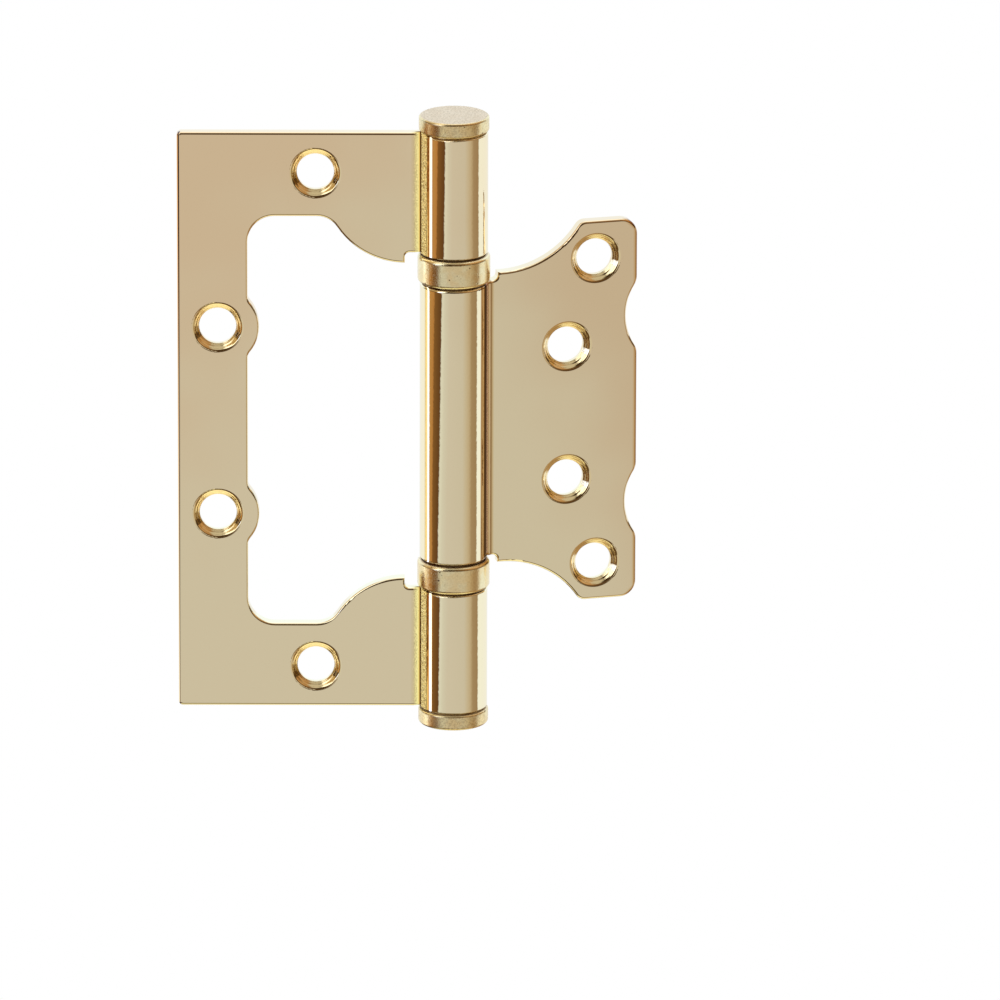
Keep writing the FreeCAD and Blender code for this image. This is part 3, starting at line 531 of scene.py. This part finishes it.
def polished_plate(name, leaf):
    """Bright plating of a leaf, with what stamping, rolling and the cutter leave in it."""
    material, tree, shader = new_metal(name, LOWER_BRASS, POLISH_ROUGHNESS)
    place, outwards, through, upwards = about_the_pin(tree, leaf["direction"])
    forwards = times(tree, through, leaf["front_side"])
    on_front = maths(tree, "GREATER_THAN", forwards, 0.0)
    from_hole = nearest_hole(tree, leaf, outwards, upwards)
    in_hole = times(tree, maths(tree, "LESS_THAN", from_hole, COUNTERSINK_RADIUS),
                    maths(tree, "GREATER_THAN", forwards, COUNTERSINK_END))

    # Painted gradient of the reflection, with the plating's own patches.
    colour = brass_with_painted_gradient(tree, leaf, place, outwards, upwards)
    colour = blend(tree, in_hole, colour, COUNTERSINK_BRASS)
    # Painted reflections and painted shade across the fold, on the front only.
    colour = shaded(tree, on_front, colour, painted_reflections_at_fold(tree, leaf, outwards))
    # Painted reflections along the edge, on the front only and stronger towards the top.
    strength = maths(tree, "MULTIPLY_ADD", upwards, leaf["edge_growth"], leaf["edge_strength"])
    painted_edge_reflection = painted_reflection_at_edge(tree, leaf, outwards, upwards)
    colour = shaded(tree, times(tree, strength, on_front), colour, painted_edge_reflection)
    feed(tree, colour, shader.inputs["Base Color"])

    at_rim = step(tree, from_hole, COUNTERSINK_RADIUS - RIM_ROUNDING, COUNTERSINK_RADIUS)
    on_cone = times(tree, maths(tree, "SUBTRACT", 1.0, at_rim), in_hole)
    on_roll = drop(tree, length(tree, outwards, through), *ROLL_MARKS_END)
    peel_share = maths(tree, "MULTIPLY_ADD", on_roll, 1 - PEEL_ON_FLAT, PEEL_ON_FLAT)
    heights = [
        (times(tree, noise(tree, from_hole, RING_WIDTH, 3.0, "1D"), on_cone), RING_DEPTH),
        (times(tree, noise(tree, place, CHATTER_GRAIN, 2.0), on_cone), CHATTER_DEPTH),
        (times(tree, noise(tree, place, PEEL_GRAIN), peel_share), PEEL_DEPTH),
        (noise(tree, place, WAVE_GRAIN, 0.0), WAVE_DEPTH),
    ]

    to_the_front = (-leaf["front_side"] * math.sin(leaf["direction"]),
                    leaf["front_side"] * math.cos(leaf["direction"]), 0)
    tilt = times_vector(tree, times(tree, at_rim, in_hole, RIM_LEANING), to_the_front)
    flattened = times(tree, within(tree, outwards, *leaf["bright_line"], LINE_SOFTNESS), on_front)
    if leaf["worn_corner"]:
        gritty = times(tree, within(tree, outwards, *GRITTY_CORNER, GRITTY_SOFTNESS), on_front)
        flattened = maths(tree, "MAXIMUM", flattened, gritty)
        heights.append((times(tree, noise(tree, place, GRIT_GRAIN, 2.0), gritty), GRIT_DEPTH))
        rougher = GRITTY_ROUGHNESS - POLISH_ROUGHNESS
        roughness = maths(tree, "MULTIPLY_ADD", gritty, rougher, POLISH_ROUGHNESS)
        feed(tree, roughness, shader.inputs["Roughness"])
        worn = times(tree, worn_sheet(tree, place, outwards), on_front)
        tilt = add_vectors(tree, tilt, times_vector(tree, worn, WORN_TILT))
    tilt = add_vectors(tree, tilt, times_vector(tree, flattened, FLATTENED_TILT))

    normal = put(tree, "ShaderNodeNewGeometry").outputs["Normal"]
    in_the_room = put(tree, "ShaderNodeVectorTransform", vector_type="VECTOR",
                      convert_from="OBJECT", convert_to="WORLD")
    feed(tree, tilt, in_the_room.inputs["Vector"])
    tilted = add_vectors(tree, out_of_round(tree, leaf, normal, upwards, on_roll),
                         in_the_room.outputs["Vector"])
    one_long = put(tree, "ShaderNodeVectorMath", operation="NORMALIZE")
    feed(tree, tilted, one_long.inputs[0])
    emboss(tree, shader, heights, one_long.outputs["Vector"])
    return material


def finish_node(name, material):
    """Gives a piece of the frame its finish."""
    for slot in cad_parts[name].material_slots:
        slot.material = material


finish_node("outer_leaf", polished_plate("outer_leaf_plate", OUTER_LEAF))


# The inner leaf is stamped from the same sheet and nests in the outer leaf's window when the
# hinge is shut. It stands a little past the flat position, and has the same finish.
INNER_LEAF = dict(
    direction=math.radians(14.5),
    front_side=-1.0,
    holes=((24.2 * MM, 26.6 * MM), (19.3 * MM, 11.6 * MM)),
    upper_brass=(0.925, 0.745, 0.485),
    pale_share=0.78,
    pale_fall=25.0,
    roll_turn=0.0,
    roll_twist=-2.5,
    bright_line=(-5.17 * MM, -4.90 * MM),
    worn_corner=False,
    # Painted reflections and painted shade across the fold, multiplying the brass.
    fold_painted_reflections=(
        (-5.42 * MM, (1.0, 1.0, 1.0)),
        (-5.36 * MM, (0.76, 0.58, 0.26)),
        (-5.17 * MM, (0.76, 0.58, 0.30)),
        (-5.12 * MM, (1.0, 1.0, 1.0)),
        (3.45 * MM, (1.0, 1.0, 1.0)),
        (3.60 * MM, (0.42, 0.25, 0.10)),
        (3.95 * MM, (0.42, 0.25, 0.10)),
        (4.05 * MM, (0.60, 0.42, 0.25)),
        (4.33 * MM, (0.60, 0.42, 0.25)),
        (4.42 * MM, (0.06, 0.02, 0.01)),
        (4.80 * MM, (0.06, 0.02, 0.01)),
        (4.92 * MM, (0.36, 0.15, 0.08)),
        (5.35 * MM, (0.36, 0.15, 0.08)),
        (5.60 * MM, (0.58, 0.43, 0.29)),
        (6.05 * MM, (0.60, 0.45, 0.32)),
        (6.30 * MM, (1.0, 1.0, 1.0)),
    ),
    end=31.35 * MM,
    corner=62.8 * MM,
    # Painted reflections along the edge, multiplying the brass.
    edge_painted_reflections=(
        (0.22 * MM, (1.0, 1.0, 1.0)),
        (0.58 * MM, (0.88, 0.74, 0.55)),
        (0.76 * MM, (0.74, 0.54, 0.32)),
        (0.84 * MM, (0.30, 0.15, 0.05)),
    ),
    edge_strength=1.0,
    edge_growth=0.0,
)

finish_node("inner_leaf", polished_plate("inner_leaf_plate", INNER_LEAF))


# The caps are turned heads on shanks that are pressed into the outer knuckles. Their plating is
# duller than the leaves', with pits and faint marks, and their ends are left matt.
SATIN_ROUGHNESS = 0.23
ROUGHNESS_SPREAD = 0.16
SATIN_BRASS = (1.0, 0.93, 0.62)
SATIN_SHADE = (0.97, 0.83, 0.50)
SHADE_GRAIN = 2.2 * MM
SHADE_SHARES = (0.42, 0.62)

# The ends are matt. They are told from the sides by the upright part of the surface's normal.
MATT_END_BRASS = (0.96, 0.84, 0.65)
MATT_END_SHADE = (0.74, 0.63, 0.46)
MATT_SHARES = (0.3, 0.7)
MATT_ROUGHNESS = 0.3
END_NORMALS = (0.85, 0.97)

# Fine mottling, and pits, some of them stained. Distances from a pit are shares of their spacing.
PIT_BROWN = (0.16, 0.09, 0.04)
MOTTLE_GRAIN = 0.30 * MM
MOTTLE_SHARES = (0.42, 0.62)
PIT_SPACING = 0.9 * MM
PIT_WALL = (0.08, 0.16)
PIT_DEPTH = 0.012 * MM
STAIN_WALL = (0.12, 0.22)
STAIN_GRAIN = 1.6 * MM
STAIN_SHARES = (0.56, 0.62)

# The skin is uneven, with faint lines round it from the lathe and upright ones from handling.
# The right side is a little out of round, from these X of the surface's normal on.
SKIN_GRAIN = 0.35 * MM
SKIN_DEPTH = 0.014 * MM
LATHE_LINE_WIDTH = 0.3 * MM
UPRIGHT_LINE_WIDTH = 0.35 * MM
UPRIGHT_LINE_RADIUS = 6 * MM
RIGHT_SIDE_START = (-0.3, 0.4)
RIGHT_SIDE_TURN = -0.03


def way_round(tree, through, outwards, radius):
    """Way round the pin's axis, measured on a circle of the given radius."""
    return times(tree, maths(tree, "ARCTAN2", through, outwards), radius)


def satin_plate(name, tint, roughness, mottling, line_depth):
    """Dull plating of a turned piece, with its own tint, gloss, mottling and lines."""
    material, tree, shader = new_metal(name, SATIN_BRASS, roughness)
    place, outwards, through, upwards = about_the_pin(tree, 0.0)
    normal = put(tree, "ShaderNodeNewGeometry").outputs["Normal"]
    to_the_right, _, up = split(tree, normal)
    patches = noise(tree, place, SHADE_GRAIN, 2.0)
    grains = noise(tree, place, MOTTLE_GRAIN)
    pits = put(tree, "ShaderNodeTexVoronoi")
    feed(tree, place, pits.inputs["Vector"])
    pits.inputs["Scale"].default_value = 1 / PIT_SPACING
    from_pit = pits.outputs["Distance"]
    on_end = step(tree, maths(tree, "ABSOLUTE", up), *END_NORMALS)

    bright = tuple(part * share for part, share in zip(SATIN_BRASS, tint))
    dull = tuple(part * share for part, share in zip(SATIN_SHADE, tint))
    colour = blend(tree, step(tree, patches, *SHADE_SHARES), dull, bright)
    stained = step(tree, noise(tree, place, STAIN_GRAIN), *STAIN_SHARES)
    stained = times(tree, stained, drop(tree, from_pit, *STAIN_WALL))
    colour = blend(tree, stained, colour, PIT_BROWN)
    mottled = times(tree, step(tree, grains, *MOTTLE_SHARES), mottling)
    colour = blend(tree, mottled, colour, PIT_BROWN)
    matt = blend(tree, step(tree, grains, *MATT_SHARES), MATT_END_SHADE, MATT_END_BRASS)
    feed(tree, blend(tree, on_end, colour, matt), shader.inputs["Base Color"])

    lowest = roughness - ROUGHNESS_SPREAD / 2
    gloss = maths(tree, "MULTIPLY_ADD", patches, ROUGHNESS_SPREAD, lowest)
    gloss = maths(tree, "MULTIPLY_ADD", on_end, MATT_ROUGHNESS, gloss)
    feed(tree, gloss, shader.inputs["Roughness"])

    around = way_round(tree, through, outwards, UPRIGHT_LINE_RADIUS)
    heights = [
        (noise(tree, place, SKIN_GRAIN, 3.0), SKIN_DEPTH),
        (step(tree, from_pit, *PIT_WALL), PIT_DEPTH),
        (noise(tree, upwards, LATHE_LINE_WIDTH, 2.0, "1D"), line_depth),
        (noise(tree, around, UPRIGHT_LINE_WIDTH, 2.0, "1D"), line_depth),
    ]
    angle = times(tree, step(tree, to_the_right, *RIGHT_SIDE_START), RIGHT_SIDE_TURN)
    emboss(tree, shader, heights, turn_upright(tree, normal, angle))
    return material


cap_plate = satin_plate("cap_plate", tint=(1.0, 0.93, 0.82), roughness=0.28, mottling=0.24,
                        line_depth=0.004 * MM)
finish_node("top_cap", cap_plate)
finish_node("bottom_cap", cap_plate)


# The pin is a length of drawn steel rod, left bare. It goes through all three knuckles, and the
# caps close over its ends.
BARE_STEEL = (0.58, 0.57, 0.55)
STEEL_PATCH_GRAIN = 1.5 * MM
STEEL_ROUGHNESS_SPREAD = 0.2
DRAWN_LINE_WIDTH = 0.2 * MM
DRAWN_LINE_RADIUS = 4 * MM


def drawn_steel(name, colour, roughness, line_depth):
    """Steel with fine lines along it."""
    material, tree, shader = new_metal(name, colour, roughness)
    place, outwards, through, _ = about_the_pin(tree, 0.0)
    patches = noise(tree, place, STEEL_PATCH_GRAIN, 2.0)
    lowest = roughness - STEEL_ROUGHNESS_SPREAD / 2
    gloss = maths(tree, "MULTIPLY_ADD", patches, STEEL_ROUGHNESS_SPREAD, lowest)
    feed(tree, gloss, shader.inputs["Roughness"])
    around = way_round(tree, through, outwards, DRAWN_LINE_RADIUS)
    lines = noise(tree, around, DRAWN_LINE_WIDTH, 2.0, "1D")
    emboss(tree, shader, [(lines, line_depth)])
    return material


finish_node("hinge_pin", drawn_steel("pin_steel", BARE_STEEL, roughness=0.3, line_depth=0.006 * MM))


# Each ball bearing turns on the pin between two knuckles. It has a plated shell, the only piece
# of it that shows, two races whose near-black steel is painted shade for the gaps above and below
# the shell, a stamped brass cage and nine steel balls.
# Near-black race steel: painted shade, so the gaps beside the shell look dark.
PAINTED_GAP_SHADE = (0.10, 0.055, 0.02)

shell_plate = satin_plate("shell_plate", tint=(1.0, 0.96, 0.90), roughness=SATIN_ROUGHNESS,
                          mottling=0.08, line_depth=0.008 * MM)
cage_plate = satin_plate("cage_plate", tint=(1.0, 1.0, 1.0), roughness=SATIN_ROUGHNESS,
                         mottling=0.0, line_depth=0.0)
# The races' near-black steel is painted shade for the gaps beside the shell.
race_painted_shade = drawn_steel("race_painted_shade", PAINTED_GAP_SHADE, roughness=0.22, line_depth=0.001 * MM)
ball_steel = drawn_steel("ball_steel", BARE_STEEL, roughness=0.14, line_depth=0.0)

# A piece has the first of these finishes whose words its name holds.
BEARING_FINISHES = (
    ("bearing_shell", shell_plate),
    ("race", race_painted_shade),
    ("_ball_cage", cage_plate),
    ("_ball_", ball_steel),
)
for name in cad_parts:
    for words, material in BEARING_FINISHES:
        if words in name:
            finish_node(name, material)
            break


# A plain pale floor lies 20 mm under the hinge. Only the camera sees it: the polish mirrors the
# studio instead, and no shadow falls.
FLOOR_WIDTH = 6.0
FLOOR_BELOW = 20 * MM

bpy.ops.mesh.primitive_plane_add(size=FLOOR_WIDTH, location=(0, 0, cad_low[2] - FLOOR_BELOW))
floor = bpy.context.object
floor.name = "floor"
floor.visible_glossy = False
floor.visible_diffuse = False
floor.visible_shadow = False
floor_white = bpy.data.materials.new("floor_white")
floor_white.use_nodes = True
floor_tree = floor_white.node_tree
floor_tree.nodes.clear()
floor_light = put(floor_tree, "ShaderNodeEmission")
feed(floor_tree, floor_light.outputs["Emission"],
     put(floor_tree, "ShaderNodeOutputMaterial").inputs["Surface"])
floor.data.materials.append(floor_white)
